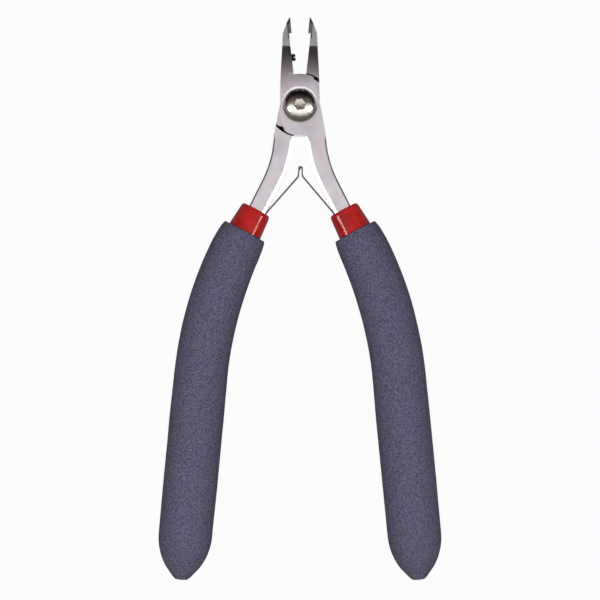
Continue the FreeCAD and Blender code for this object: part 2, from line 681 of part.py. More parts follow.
def make_spring_leaf(name, side, flare, tab, tab_turn, hooked):
    """The part of a leaf spring that bends: a straight leaf, a short elbow and a standing tab."""
    body = new_body(name, spring_frame(side))
    runs = [("leaf", "sizes.leaf_length", f"{side} * {flare}"),
            ("elbow", "sizes.elbow_length", f"-{side} * sizes.elbow_turn"),
            ("tab", tab, f"-{side} * {tab_turn}")]
    if hooked:
        runs.append(("hook", "sizes.hook_length", f"{side} * sizes.hook_turn"))
    place = moved(0, 0)
    for run_name, length, turn in runs:
        place = f"{place} * {moved(0, 0, 0, turn)}"
        knuckle(body, f"{run_name}_round", place)
        strip(body, run_name, place, length)
        place = f"{place} * {moved(0, length)}"
    return body


def make_spring_foot(name, side):
    """The part of a leaf spring that lies along the steel, inside the sleeve."""
    body = new_body(name, spring_frame(side))
    half = "sizes.spring_thick / 2"
    near = "-(sizes.spring_thick / 2 + sizes.running_gap)"
    run = trace(sketch_on(body, "foot"), [
        (f"-{half}", near),
        (half, near),
        (half, "-sizes.hinge_lift - sizes.foot_length"),
        (f"-{half}", "-sizes.hinge_lift - sizes.foot_length"),
    ])
    feature(body, "Pad", "foot_pad", run, Length="sizes.spring_width", SideType="Symmetric")
    hole = ring(sketch_on(body, "rivet_hole", "YZ_Plane"), "sizes.rivet_radius",
                "-sizes.hinge_lift - sizes.rivet_place")
    cut(body, "Pocket", "rivet_hole_cut", hole, Type="ThroughAll", SideType="Symmetric")
    return body


def make_spring_rivet(name, side):
    """A rivet with a flat head that clamps a spring's foot to the steel."""
    body = new_body(name, f"{lever_place(side)} * {handle_place(side)}")
    stem = side_sketch(body, "stem", side, "sizes.rivet_radius")
    feature(body, "Pad", "stem_pad", stem, Length="sizes.rivet_depth", Reversed=True)
    neck = side_sketch(body, "neck", side, "sizes.rivet_radius")
    feature(body, "Pad", "neck_pad", neck, Length="sizes.spring_gap + sizes.spring_thick")
    lift = moved(0, 0, "sizes.spring_gap + sizes.spring_thick")
    inward = moved(f"-{side} * sizes.shank_width / 2", "-sizes.rivet_place", 0, f"-{side} * 90", "0; 1; 0")
    head = ring(sketch_on(body, "head", "XY_Plane", f"{inward} * {lift}"), "sizes.rivet_head_radius")
    feature(body, "Pad", "head_pad", head, Length="sizes.rivet_head_thick")
    return body


def make_all():
    bodies = [make_front_lever(), make_back_lever(), make_pivot_screw(), make_pivot_washer(),
              make_stop_screw()]
    for hand, side, hooked in (("left", -1, True), ("right", 1, False)):
        bodies += [
            make_sleeve(f"{hand}_inner_sleeve", side),
            make_grip(f"{hand}_foam_grip", side),
            make_spring_foot(f"{hand}_spring_foot", side),
            make_spring_leaf(f"{hand}_spring_leaf", side, f"sizes.{hand}_flare", f"sizes.{hand}_tab",
                             f"sizes.{hand}_tab_turn", hooked),
            make_spring_rivet(f"{hand}_spring_rivet", side),
        ]
    return bodies


def check(bodies):
    """Stops the script if any object failed or any body is not one sound solid."""
    doc.recompute()
    for thing in doc.Objects:
        if "Invalid" in thing.State or "Error" in thing.State:
            raise RuntimeError(f"{thing.Name} failed: {thing.State}")
    for body in bodies:
        if body.Shape.isNull() or not body.Shape.isValid():
            raise RuntimeError(f"{body.Label} has no valid shape")
        print(body.Label, len(body.Shape.Solids), "solid", round(body.Shape.Volume, 2), "mm3")


parts = make_all()
check(parts)
os.makedirs("parts", exist_ok=True)
for part in parts:
    part.Shape.exportStep(f"parts/{part.Label}.step")
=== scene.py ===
# %% [markdown]
# # Sprue nippers
# Small angled cutters with two polished steel levers, a screw through their lap joint, leaf springs,
# red dipped sleeves and long foam grips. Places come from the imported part. Sizes that the pieces share
# with it are written here again, and many of them were estimates there. What this script adds is what
# the eye looks for: soft edges, thread rings on the stop screw, finishes, foam and a studio's light.

import json
import math

import bmesh
import bpy
from mathutils import Matrix, Vector, noise


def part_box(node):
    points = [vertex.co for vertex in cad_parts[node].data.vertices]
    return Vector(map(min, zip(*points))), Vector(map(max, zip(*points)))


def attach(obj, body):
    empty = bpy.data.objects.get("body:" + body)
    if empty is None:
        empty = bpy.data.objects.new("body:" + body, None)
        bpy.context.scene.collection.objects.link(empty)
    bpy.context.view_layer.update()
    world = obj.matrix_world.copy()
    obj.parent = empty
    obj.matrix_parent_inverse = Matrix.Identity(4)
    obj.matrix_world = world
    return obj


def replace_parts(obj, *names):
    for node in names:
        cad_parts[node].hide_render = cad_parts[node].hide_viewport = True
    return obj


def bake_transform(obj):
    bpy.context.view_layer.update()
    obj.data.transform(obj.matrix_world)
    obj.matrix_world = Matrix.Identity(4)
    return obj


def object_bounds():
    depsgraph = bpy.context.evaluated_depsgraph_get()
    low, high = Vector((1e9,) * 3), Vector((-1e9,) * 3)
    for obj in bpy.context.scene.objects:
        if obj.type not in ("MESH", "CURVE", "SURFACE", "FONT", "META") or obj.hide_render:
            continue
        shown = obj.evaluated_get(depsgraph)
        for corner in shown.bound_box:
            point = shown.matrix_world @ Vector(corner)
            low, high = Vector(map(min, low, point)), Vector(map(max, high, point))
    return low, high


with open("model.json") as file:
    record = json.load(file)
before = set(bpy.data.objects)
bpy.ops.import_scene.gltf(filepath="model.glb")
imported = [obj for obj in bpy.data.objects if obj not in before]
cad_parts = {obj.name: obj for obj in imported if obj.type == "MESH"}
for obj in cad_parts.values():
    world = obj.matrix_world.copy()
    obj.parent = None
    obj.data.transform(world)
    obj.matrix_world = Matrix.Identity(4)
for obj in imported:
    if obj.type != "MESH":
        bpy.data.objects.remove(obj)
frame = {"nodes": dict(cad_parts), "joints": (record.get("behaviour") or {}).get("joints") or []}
cad_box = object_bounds()
MM = 0.001
print("nodes", len(frame["nodes"]), "box in mm", [round(v / MM, 2) for corner in cad_box for v in corner])

# %% [markdown]
# Everything hangs on two places: the pivot's centre and the mouth of each red sleeve. The pivot is the
# middle of the washer. Each spring bends at the mouth of its sleeve, so the spring's hinge gives the
# mouth once the small step from the handle's centre line to the spring is taken back. Reading both
# from the part keeps the new pieces right if the part is ever made again.

# %% Find the pivot and the two handles
OPEN_HALF = math.radians(6.5)
SHANK_ANGLE = math.radians(21.8)
FOOT_OFFSET = 2.87 * MM
HINGE_LIFT = 0.6 * MM


def middle_of(node):
    low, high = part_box(node)
    return (low + high) / 2


pivot = middle_of("pivot_washer")
pivot.z = middle_of("left_foam_grip").z
hinges = {joint["name"]: Vector(joint["pos_m"]) for joint in frame["joints"]}
SIDES = {"left": -1, "right": 1}


def lever_place(side):
    """The frame in which a closed lever was drawn, turned open."""
    return Matrix.Translation(pivot) @ Matrix.Rotation(side * OPEN_HALF, 4, "Z")


def handle_place(name):
    """The frame at a sleeve's mouth: the handle leaves along -Y."""
    side = SIDES[name]
    turned = Matrix.Rotation(side * (OPEN_HALF + SHANK_ANGLE), 4, "Z")
    step = turned @ Vector((-side * FOOT_OFFSET, HINGE_LIFT, 0))
    return Matrix.Translation(hinges[f"{name}_spring_flex"] - step) @ turned


for name in SIDES:
    print(name, "mouth in mm", [round(v / MM, 2) for v in handle_place(name).translation])

# %% [markdown]
# A finish is a small tree of shader nodes. Wiring each sum by hand hides what it means, so one little
# class holds a number that changes over the surface and lets plain arithmetic add the Math nodes. Every
# other node comes from one method, which takes the node's type, its settings and its inputs.

# %% Shader sums as plain arithmetic
class Signal:
    """A number that changes over a surface."""

    def __init__(self, finish, socket):
        self.finish, self.socket = finish, socket

    def __add__(self, other):
        return self.finish.sum("ADD", self, other)

    def __mul__(self, other):
        return self.finish.sum("MULTIPLY", self, other)

    def __sub__(self, other):
        return self.finish.sum("SUBTRACT", self, other)

    def __rsub__(self, other):
        return self.finish.sum("SUBTRACT", other, self)

    __radd__, __rmul__ = __add__, __mul__


# %% A finish and its one way of adding nodes
def light_of(red, green, blue):
    """A screen colour, 0 to 255, as the linear colour that shaders work in."""
    shares = [value / 255 for value in (red, green, blue)]
    return tuple(s / 12.92 if s < 0.04045 else ((s + 0.055) / 1.055) ** 2.4 for s in shares) + (1.0,)


class Finish:
    """A node tree that dresses a surface."""

    def __init__(self, owner):
        owner.use_nodes = True
        self.owner, self.tree = owner, owner.node_tree
        self.tree.nodes.clear()

    def node(self, kind, settings=None, inputs=None, output=0):
        made = self.tree.nodes.new(f"ShaderNode{kind}")
        for setting, value in (settings or {}).items():
            if setting == "stops":
                for stop, (place, colour) in enumerate(value):
                    ramp = made.color_ramp.elements
                    element = ramp[stop] if stop < len(ramp) else ramp.new(place)
                    element.position, element.color = place, colour
            else:
                setattr(made, setting, value)
        for socket, value in (inputs or {}).items():
            target = made.inputs[socket] if isinstance(socket, int) else next(
                s for s in made.inputs if socket in (s.identifier, s.name))
            if isinstance(value, Signal):
                self.tree.links.new(value.socket, target)
            else:
                target.default_value = value
        sockets = made.outputs
        if not sockets:
            return None
        return Signal(self, sockets[output] if isinstance(output, int) else next(
            s for s in sockets if output in (s.identifier, s.name)))

    def sum(self, operation, *values):
        """A Math node on numbers or signals."""
        return self.node("Math", {"operation": operation}, dict(enumerate(values)))

    def background_seen(self):
        """1 where the camera, a mirror or glass looks straight at this white."""
        kinds = ("Camera", "Glossy", "Transmission")
        rays = [self.node("LightPath", output=f"Is {kind} Ray") for kind in kinds]
        return self.sum("MAXIMUM", rays[0], self.sum("MAXIMUM", rays[1], rays[2]))

    def place(self, scale=(1, 1, 1), turn=(0, 0, 0)):
        """The surface's own place, stretched and turned for a pattern."""
        where = self.node("TexCoord", output="Object")
        return self.node("Mapping", {}, {"Vector": where, "Scale": scale, "Rotation": turn})

    def grain(self, size, detail=2.0, roughness=0.5, stretch=(1, 1, 1), turn=(0, 0, 0)):
        """Soft noise with lumps about size metres across."""
        return self.node("TexNoise", {}, {"Vector": self.place(stretch, turn), "Scale": 0.5 / size,
                                          "Detail": detail, "Roughness": roughness})

    def spread(self, signal, low, high, to_low=0.0, to_high=1.0):
        """Clips a signal to low..high and stretches it to another range."""
        return self.node("MapRange", {"interpolation_type": "SMOOTHSTEP"}, {
            "Value": signal, "From Min": low, "From Max": high, "To Min": to_low, "To Max": to_high})

    def mix(self, share, first, second):
        return self.node("Mix", {"data_type": "RGBA"}, {
            "Factor_Float": share, "A_Color": first, "B_Color": second}, "Result_Color")

    def bump(self, height, distance, strength=1.0):
        return self.node("Bump", {}, {"Height": height, "Distance": distance, "Strength": strength})

    def done(self, **sockets):
        """Ends the tree in one Principled shader; underscores stand for spaces."""
        shader = self.node("BsdfPrincipled", {}, {k.replace("_", " "): v for k, v in sockets.items()})
        self.node("OutputMaterial", {}, {"Surface": shader})
        return self.owner


def finish_named(name):
    return Finish(bpy.data.materials.new(name))


print("one class for sums, one for finishes")

# %% [markdown]
# The levers are stainless steel that was ground and then tumbled. Up close the flats carry very fine
# scratches along the tool and cloudy patches where the tumbling bit unevenly. Steel mostly shows what
# surrounds it, so on the flats the colour stays plain and the roughness does the work. The hollow of the
# jaws and a ring beside the screw are darkened in their colour, which is painted shade: chosen tones that
# stand for the dark these places mirror, and here they stay whatever the light.
# The round gap of the lap joint is painted black, as painted shade for that deep, narrow gap. That place
# is known, so a ring round the pivot, kept below the polished face, marks it.

# %% Ground steel for the levers
def from_pivot(f):
    """A surface point's distance from the pivot's axis, and its place seen from the pivot."""
    centred = f.node("VectorMath", {"operation": "SUBTRACT"}, {
        0: f.node("TexCoord", output="Object"), 1: tuple(pivot)})
    flat = f.node("VectorMath", {"operation": "MULTIPLY"}, {0: centred, 1: (1, 1, 0)})
    return f.node("VectorMath", {"operation": "LENGTH"}, {0: flat}, "Value"), centred


HOLLOW_END = 16.15 * MM


def lap_gap_painted_shade(f):
    """Painted shade: 1 in the round gap of the lap joint, below the polished faces and beside the open
    crotch.
    """
    radius, centred = from_pivot(f)
    across, ahead, height = (f.node("SeparateXYZ", {}, {0: centred}, axis) for axis in "XYZ")
    beside = f.sum("ABSOLUTE", across)
    blob = f.spread(across, -4.2 * MM, -4.8 * MM) * f.spread(ahead, -5.5 * MM, -6.0 * MM)
    widened = radius + 1.1 * MM * blob
    ring = f.spread(widened, 8.05 * MM, 8.25 * MM) * (1 - f.spread(radius, 8.9 * MM, 9.1 * MM))
    return ring * (1 - f.spread(height, 2.5 * MM, 2.85 * MM)) * f.spread(beside, 1.3 * MM, 1.9 * MM)


def hollow_painted_shade(f):
    """Painted shade: 0 to 1 along the hollow of the jaws, and 0 again on the raised beaks."""
    _, centred = from_pivot(f)
    ahead = f.node("SeparateXYZ", {}, {0: centred}, "Y")
    return f.spread(ahead, 6.5 * MM, 16.5 * MM) * (1 - f.spread(ahead, HOLLOW_END, HOLLOW_END + 0.2 * MM))


def screw_ring_painted_shade(f):
    """Painted shade: a brown ring in the recess round the screw's head, on the handles' side of the screw."""
    radius, centred = from_pivot(f)
    ahead = f.node("SeparateXYZ", {}, {0: centred}, "Y")
    ring = f.spread(radius, 4.05 * MM, 4.2 * MM) * (1 - f.spread(radius, 4.5 * MM, 4.9 * MM))
    return ring * f.spread(ahead, 0.8 * MM, -1.5 * MM)


def ground_steel():
    f = finish_named("ground_steel")
    # painted shade: the lap joint's gap painted black and not metal
    black_gap_shade = lap_gap_painted_shade(f)
    scratches = f.grain(0.06 * MM, 3.0, 0.6, stretch=(1, 0.06, 1))
    clouds = f.grain(2.5 * MM, 3.0)
    stain = f.spread(clouds, 0.35, 0.75)
    colour = f.mix(stain, light_of(229, 225, 231), light_of(213, 208, 214))
    rough = 0.26 + 0.10 * scratches + 0.07 * clouds
    # painted shade: the hollow of the jaws darkened in the base colour
    hollow_shade_mixed = f.mix(hollow_painted_shade(f) * (0.75 + 0.25 * scratches), colour, light_of(92, 80, 77))
    # painted shade: a brown ring in the recess beside the screw's head
    ring_shade_mixed = f.mix(screw_ring_painted_shade(f), hollow_shade_mixed, light_of(120, 110, 98))
    gap_blackened = f.mix(black_gap_shade, ring_shade_mixed, light_of(8, 7, 7))
    return f.done(Base_Color=gap_blackened, Metallic=1 - black_gap_shade, Roughness=rough + 0.35 * black_gap_shade,
                  Specular_IOR_Level=0.08,
                  Normal=f.bump(scratches, 0.004 * MM, 0.5))


steel = ground_steel()
print("ground steel", len(steel.node_tree.nodes), "nodes")

# %% [markdown]
# The screw is turned on a lathe, so its marks run in rings round the pivot instead of along the tool.
# Rings come from the distance to the screw's axis: the pattern is placed on the pivot first, then only
# its length in the plane is kept, and noise is read along that length.

# %% Turned steel for the screw and its washer
def turned_steel(name, bright, dull, rough):
    f = finish_named(name)
    radius, _ = from_pivot(f)
    rings = f.node("TexNoise", {"noise_dimensions": "1D"}, {"W": radius, "Scale": 6000.0, "Detail": 3.0})
    clouds = f.grain(1.2 * MM, 3.0)
    colour = f.mix(f.spread(clouds, 0.3, 0.75), bright, dull)
    return f.done(Base_Color=colour, Metallic=1.0, Roughness=rough + 0.05 * rings + 0.03 * clouds,
                  Normal=f.bump(rings, 0.001 * MM, 0.3))


screw_steel = turned_steel("turned_steel", light_of(214, 210, 200), light_of(204, 200, 190), 0.08)
washer_steel = turned_steel("washer_steel", light_of(176, 175, 172), light_of(150, 150, 147), 0.26)
print("two turned finishes")

# %% [markdown]
# Three small parts are not plain steel. The stop screw is blackened, which leaves a dark oxide with the
# bright metal showing through on the thread's crests. The springs are tempered strip, which keeps an
# olive grey skin. Both are mixed by soft noise, because worn oxide never ends at a sharp line.

# %% Blackened and tempered steel
def oxide_steel(name, oxide, worn, amount, rough):
    f = finish_named(name)
    patches = f.grain(0.35 * MM, 4.0, 0.6)
    wear = f.spread(patches, 0.62 - amount, 0.70) * amount
    return f.done(Base_Color=f.mix(wear, oxide, worn), Metallic=0.85, Roughness=rough - 0.15 * wear,
                  Normal=f.bump(patches, 0.01 * MM, 0.3))


black_steel = oxide_steel("black_oxide_steel", light_of(38, 37, 38), light_of(120, 118, 116), 0.10, 0.42)
spring_steel = oxide_steel("tempered_spring_steel", light_of(88, 86, 74), light_of(132, 130, 118), 0.25, 0.38)
print("blackened screw and tempered springs")

# %% [markdown]
# The sleeves are steel dipped in red vinyl. Dipped vinyl flows while it is hot, so it is glossy and
# slightly wavy, never perfectly smooth. A clear coat over a deep red gives the sharp highlight, and a
# slow, shallow bump makes that highlight wander as it does on the real thing.

# %% Red dipped vinyl
def dipped_vinyl():
    f = finish_named("red_dipped_vinyl")
    waves = f.grain(1.6 * MM, 2.0)
    specks = f.grain(0.12 * MM, 3.0)
    depth = f.spread(waves, 0.3, 0.7)
    colour = f.mix(depth, light_of(184, 40, 36), light_of(158, 32, 32))
    return f.done(Base_Color=colour, Roughness=0.34 + 0.10 * specks, Specular_IOR_Level=0.0,
                  Coat_Weight=0.18 + 0.03 * depth, Coat_Roughness=0.04,
                  Normal=f.bump(waves + 0.1 * specks, 0.04 * MM, 0.4))


vinyl = dipped_vinyl()
print("vinyl", len(vinyl.node_tree.nodes), "nodes")

# %% [markdown]
# The grips are closed-cell foam tube, blue grey with a purple cast. Its skin is thousands of tiny burst
# cells. Three layers make it: cells a third of a millimetre across, a finer grit on them, and slow
# patches of warmer and cooler grey. The same cells drive the bump, so that dark pits are really low.

# %% Speckled foam
def speckled_foam():
    f = finish_named("grey_foam")
    cells = f.grain(0.25 * MM, 3.0, 0.65)
    grit = f.grain(0.11 * MM, 2.0, 0.6)
    patches = f.grain(5.0 * MM, 2.0)
    pits = f.spread(cells, 0.36, 0.66)
    body = f.mix(f.spread(patches, 0.35, 0.68), light_of(103, 101, 123), light_of(106, 99, 117))
    speckled = f.mix(pits, light_of(70, 68, 88), body)
    flecks = f.spread(grit, 0.58, 0.70) * 0.45
    colour = f.mix(flecks, speckled, light_of(150, 146, 164))
    return f.done(Base_Color=colour, Roughness=0.86 - 0.08 * flecks, Specular_IOR_Level=0.05,
                  Normal=f.bump(cells + 0.35 * grit, 0.16 * MM, 0.8))


foam = speckled_foam()
print("foam", len(foam.node_tree.nodes), "nodes")

# %% [markdown]
# New pieces start as loops of edges. A loop is a circle placed across the piece's line, and two loops in
# a row are bridged with faces, which is how a tube is skinned by hand. Four segments turned by an eighth
# make the rectangle of a strip. One helper makes the object and gives it its slot and its finish.

# %% Loops, skins and finished pieces
ACROSS = Matrix.Rotation(math.radians(90), 4, "X")


def round_loop(bm, place, radius, segments):
    """A circle across a line that runs along a place's Y."""
    made = bmesh.ops.create_circle(bm, radius=radius, segments=segments, matrix=place @ ACROSS)
    return list({edge for vertex in made["verts"] for edge in vertex.link_edges})


def strip_loop(bm, place, thick, width):
    """A rectangle across a line that runs along a place's Y."""
    corner = Matrix.Rotation(math.radians(45), 4, "Z")
    shaped = place @ ACROSS @ Matrix.Diagonal((thick, width, 1, 1)) @ corner
    made = bmesh.ops.create_circle(bm, radius=math.sqrt(0.5), segments=4, matrix=shaped)
    return list({edge for vertex in made["verts"] for edge in vertex.link_edges})


def skin(bm, loops, caps=True):
    """Bridges each loop to the next, and closes both ends."""
    for near, far in zip(loops, loops[1:]):
        bmesh.ops.bridge_loops(bm, edges=near + far)
    for end in (loops[0], loops[-1]) if caps else ():
        bmesh.ops.contextual_create(bm, geom=end)


def piece(name, bm, finish, sharp=30):
    """A finished object whose place is in its mesh."""
    bmesh.ops.remove_doubles(bm, verts=bm.verts, dist=1e-6)
    bmesh.ops.recalc_face_normals(bm, faces=bm.faces)
    mesh = bpy.data.meshes.new(name)
    bm.to_mesh(mesh)
    bm.free()
    mesh.shade_smooth()
    mesh.set_sharp_from_angle(angle=math.radians(sharp))
    mesh.materials.append(finish)
    made = bpy.data.objects.new(name, mesh)
    bpy.context.scene.collection.objects.link(made)
    print(name, len(mesh.polygons), "faces")
    return made


# %% [markdown]
# The levers and sleeves were cut exactly in the part, so their shapes are taken over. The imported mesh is
# loose triangles, which no bevel can round, so a copy is welded first and its flat triangles are
# dissolved into whole faces. A thin bevel then breaks every edge: no ground edge is truly sharp, and the
# bright hairline that runs along it is what makes steel read as steel.

# %% Copies of the cut pieces with broken edges
def slice_across(bm, place, reaches):
    """Cuts a mesh into bands across its own line, so that it can bend or shade between them."""
    for reach in reaches:
        everything = list(bm.verts) + list(bm.edges) + list(bm.faces)
        bmesh.ops.bisect_plane(bm, geom=everything, plane_co=place @ Vector((0, reach, 0)),
                               plane_no=place.to_3x3() @ Vector((0, 1, 0)))


def round_mouth(bm, side_name):
    """Draws a sleeve's mouth in, where the dipped vinyl ends in a thick soft lip."""
    place = handle_place(side_name)
    slice_across(bm, place, (-LIP, -0.72 * LIP, -0.45 * LIP))
    for vert in bm.verts:
        seat = place.inverted() @ vert.co
        reach = math.hypot(seat.x, seat.z)
        if seat.y > -LIP and reach > LIP_FROM:
            share = 1 - 0.055 * (1 + seat.y / LIP) ** 2
            vert.co = place @ Vector((seat.x * share, seat.y, seat.z * share))


def round_hollow(bm, side):
    """Gives the hollow of a jaw enough bands to shade as one curve, each laid on the true arc."""
    place = lever_place(side)
    run, drop = BEND_FROM - HOLLOW_FROM, HALF_JOINT - BEND_RISE
    arc_radius = (run ** 2 + drop ** 2) / (2 * drop)
    reaches = [HOLLOW_FROM + run * step / HOLLOW_BANDS for step in range(HOLLOW_BANDS)]
    slice_across(bm, place, [FLAT_SLICE] + reaches)
    moved = 0
    for vert in bm.verts:
        seat = place.inverted() @ vert.co
        ahead = seat.y - HOLLOW_FROM
        if 0 < ahead < run:
            arc = HALF_JOINT - arc_radius + math.sqrt(arc_radius ** 2 - ahead ** 2)
            if abs(seat.z - arc) < ARC_REACH:
                vert.co = place @ Vector((seat.x, seat.y, arc))
                moved += 1
    print("hollow", side, "points on the arc", moved)


LIP, LIP_FROM = 1.3 * MM, 3.7 * MM
HOLLOW_FROM, BEND_FROM = 4.5 * MM, 16.3 * MM
HALF_JOINT, BEND_RISE = 3.0 * MM, 0.9 * MM
HOLLOW_BANDS, FLAT_SLICE, ARC_REACH = 26, 3.4 * MM, 0.04 * MM


def broken_edges(node, name, body, finish, width, segments=2, angle=28, sharp=12, shape=None):
    bm = bmesh.new()
    bm.from_mesh(frame["nodes"][node].data)
    bmesh.ops.remove_doubles(bm, verts=bm.verts, dist=2e-6)
    bmesh.ops.dissolve_limit(bm, angle_limit=math.radians(0.6), verts=bm.verts, edges=bm.edges)
    if shape:
        shape(bm)
    made = piece(name, bm, finish, sharp)
    bevel = made.modifiers.new("broken_edge", "BEVEL")
    bevel.width, bevel.segments, bevel.limit_method = width, segments, "ANGLE"
    bevel.angle_limit = math.radians(angle)
    weighted = made.modifiers.new("flat_faces", "WEIGHTED_NORMAL")
    weighted.keep_sharp, weighted.weight = True, 60
    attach(made, body)
    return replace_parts(made, node)


levers = {1: broken_edges("front_lever", "front_lever_ground", "front_side", steel, 0.07 * MM,
                          shape=lambda bm: round_hollow(bm, 1)),
          -1: broken_edges("back_lever", "back_lever_ground", "back_side", steel, 0.07 * MM,
                           shape=lambda bm: round_hollow(bm, -1))}
for name, body in (("left", "back_side"), ("right", "front_side")):
    broken_edges(f"{name}_inner_sleeve", f"{name}_dipped_sleeve", body, vinyl, 0.03 * MM,
                 sharp=28, shape=lambda bm, side_name=name: round_mouth(bm, side_name))

# %% [markdown]
# The cutting bevels and the two end facets get a rougher, less metallic steel, and its dark colour is
# painted shade: it stands for the dark that these faces mirror and stays whatever the light. They are told
# from the rest by where they are and which way they face: past the start of the edge, and leaning
# towards the other jaw or away from the handles. The same painted shade stays on the outer edges of the
# shanks, where it draws a thin line along each of them.

# %% Steel with painted shade for the cutting bevels
def bevel_steel_painted_shade():
    f = finish_named("bevel_steel_painted_shade")
    lines = f.grain(0.05 * MM, 3.0, 0.6, stretch=(1, 0.05, 1))
    clouds = f.grain(0.8 * MM, 2.0)
    # painted shade: the dark grey stands for what the bevels and edges mirror
    colour = f.mix(clouds, light_of(70, 72, 70), light_of(98, 92, 90))
    return f.done(Base_Color=colour, Metallic=0.7, Roughness=0.45 + 0.15 * lines,
                  Normal=f.bump(lines, 0.004 * MM, 0.5))


painted_bevel_shade = bevel_steel_painted_shade()
BEVEL_FROM = 17.6 * MM
FACET_FROM = 21.95 * MM
SHANK_TO = -6.0 * MM
for side, lever in levers.items():
    lever.data.materials.append(painted_bevel_shade)
    to_lever = lever_place(side).inverted()
    painted_dark_faces = 0
    for face in lever.data.polygons:
        middle = to_lever @ face.center
        facing = to_lever.to_3x3() @ face.normal
        bevel = middle.y > BEVEL_FROM and side * facing.x > 0.4 and facing.z > 0.3
        facet = middle.y > FACET_FROM and facing.y > 0.3 and facing.z > 0.3
        outer = middle.y < SHANK_TO and facing.x * math.copysign(1, middle.x) > 0.3 and facing.z > 0.2
        if bevel or facet or outer:
            face.material_index = 1
            painted_dark_faces += 1
    print(lever.name, "dulled faces", painted_dark_faces)

# %% [markdown]
# The pivot screw is a button head: a low dome with a six-sided socket. The outside is turned, so its
# profile is spun once round the axis. The socket is the one part that is not round. Its hexagon is
# subdivided to as many points as the spun rim, dropped onto the dome, bridged to it, and then pushed
# down and closed, which is what a broach does to the real head.

# %% Turn and broach the pivot screw
HEAD_BASE = 2.95 * MM
HEAD_RADIUS, HEAD_RIM, HEAD_RISE = 4.1 * MM, 0.5 * MM, 1.7 * MM
SHOULDER_RADIUS, THREAD_RADIUS = 3.0 * MM, 2.4 * MM
DOME = (HEAD_RADIUS ** 2 + HEAD_RISE ** 2) / (2 * HEAD_RISE)
HEAD_TOP = HEAD_BASE + HEAD_RIM + HEAD_RISE
SOCKET_ACROSS, SOCKET_DEPTH = 3.0 * MM, 1.5 * MM
TURN_STEPS = 96


def dome_height(radius):
    return HEAD_TOP - DOME + math.sqrt(DOME ** 2 - radius ** 2)


def lathe(bm, profile, axis=(0, 0, 1)):
    """Spins a line of (radius, height) points once round the axis."""
    points = [bm.verts.new((r, 0, z)) for r, z in profile]
    edges = [bm.edges.new(pair) for pair in zip(points, points[1:])]
    bmesh.ops.spin(bm, geom=points + edges, cent=(0, 0, 0), axis=axis, angle=math.tau,
                   steps=TURN_STEPS, use_merge=True)
    bmesh.ops.remove_doubles(bm, verts=bm.verts, dist=1e-6)


def rim_at(bm, radius, height):
    """The open edges of a turned rim."""
    return [edge for edge in bm.edges if edge.is_boundary and all(
        abs(v.co.xy.length - radius) < 2e-6 and abs(v.co.z - height) < 2e-6 for v in edge.verts)]


def make_pivot_screw():
    bm = bmesh.new()
    inner = 2.1 * MM
    edge = 0.22 * MM
    dome = [(inner + (HEAD_RADIUS - edge - inner) * step / 14, 0) for step in range(15)]
    profile = [(r, dome_height(r)) for r, _ in dome]
    profile += [(HEAD_RADIUS - 0.06 * MM, dome_height(HEAD_RADIUS) + 0.08 * MM),
                (HEAD_RADIUS, HEAD_BASE + HEAD_RIM - edge),
                (HEAD_RADIUS, HEAD_BASE + 0.08 * MM), (HEAD_RADIUS - 0.08 * MM, HEAD_BASE),
                (SHOULDER_RADIUS, HEAD_BASE), (SHOULDER_RADIUS, 0), (THREAD_RADIUS, 0),
                (THREAD_RADIUS, 0.25 * MM - HALF_JOINT),
                (THREAD_RADIUS - 0.25 * MM, -HALF_JOINT), (0, -HALF_JOINT)]
    lathe(bm, profile)
    hexagon = bmesh.ops.create_circle(bm, radius=SOCKET_ACROSS / math.sqrt(3) + 0.1 * MM, segments=6,
                                      matrix=Matrix.Rotation(math.radians(15 + 90), 4, "Z"))
    sides = list({e for v in hexagon["verts"] for e in v.link_edges})
    bmesh.ops.subdivide_edges(bm, edges=sides, cuts=TURN_STEPS // 6 - 1)
    lip = [e for e in bm.edges if e.is_wire]
    for vertex in {v for e in lip for v in e.verts}:
        vertex.co.z = dome_height(vertex.co.xy.length)
    bmesh.ops.bridge_loops(bm, edges=lip + rim_at(bm, inner, dome_height(inner)))
    down = lip
    for drop, shrink in ((0.12 * MM, 0.945), (SOCKET_DEPTH - 0.25 * MM, 1.0), (0.12 * MM, 0.93)):
        grown = bmesh.ops.extrude_edge_only(bm, edges=down)["geom"]
        ring = [g for g in grown if isinstance(g, bmesh.types.BMVert)]
        down = [g for g in grown if isinstance(g, bmesh.types.BMEdge)]
        level = sum(v.co.z for v in ring) / len(ring) - drop
        for vertex in ring:
            vertex.co.z = level
        bmesh.ops.scale(bm, vec=(shrink, shrink, 1), verts=ring)
    floor_point = bm.verts.new((0, 0, level - 0.2 * MM))
    for edge_of_floor in down:
        bm.faces.new((*edge_of_floor.verts, floor_point))
    bmesh.ops.transform(bm, matrix=lever_place(-1), verts=bm.verts)
    made = piece("pivot_screw_turned", bm, screw_steel, 25)
    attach(made, "back_side")
    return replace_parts(made, "pivot_screw")


make_pivot_screw()

# %% [markdown]
# The washer is a plain ring under the head. It is spun from a closed rectangle whose outer corners are
# cut, because a stamped washer has one rolled edge and the light catches it as a thin bright circle.

# %% Spin the washer
def make_washer():
    bm = bmesh.new()
    low, high = HEAD_BASE - 0.48 * MM, HEAD_BASE - 0.01 * MM
    inner, outer, roll = 3.02 * MM, 4.14 * MM, 0.12 * MM
    profile = [(inner, low), (inner, high), (outer - roll, high),
               (outer, high - roll), (outer, low + roll / 2),
               (outer - roll / 2, low), (inner, low)]
    lathe(bm, profile)
    bmesh.ops.transform(bm, matrix=lever_place(-1), verts=bm.verts)
    made = piece("pivot_washer_rolled", bm, washer_steel)
    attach(made, "back_side")
    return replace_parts(made, "pivot_washer")


make_washer()

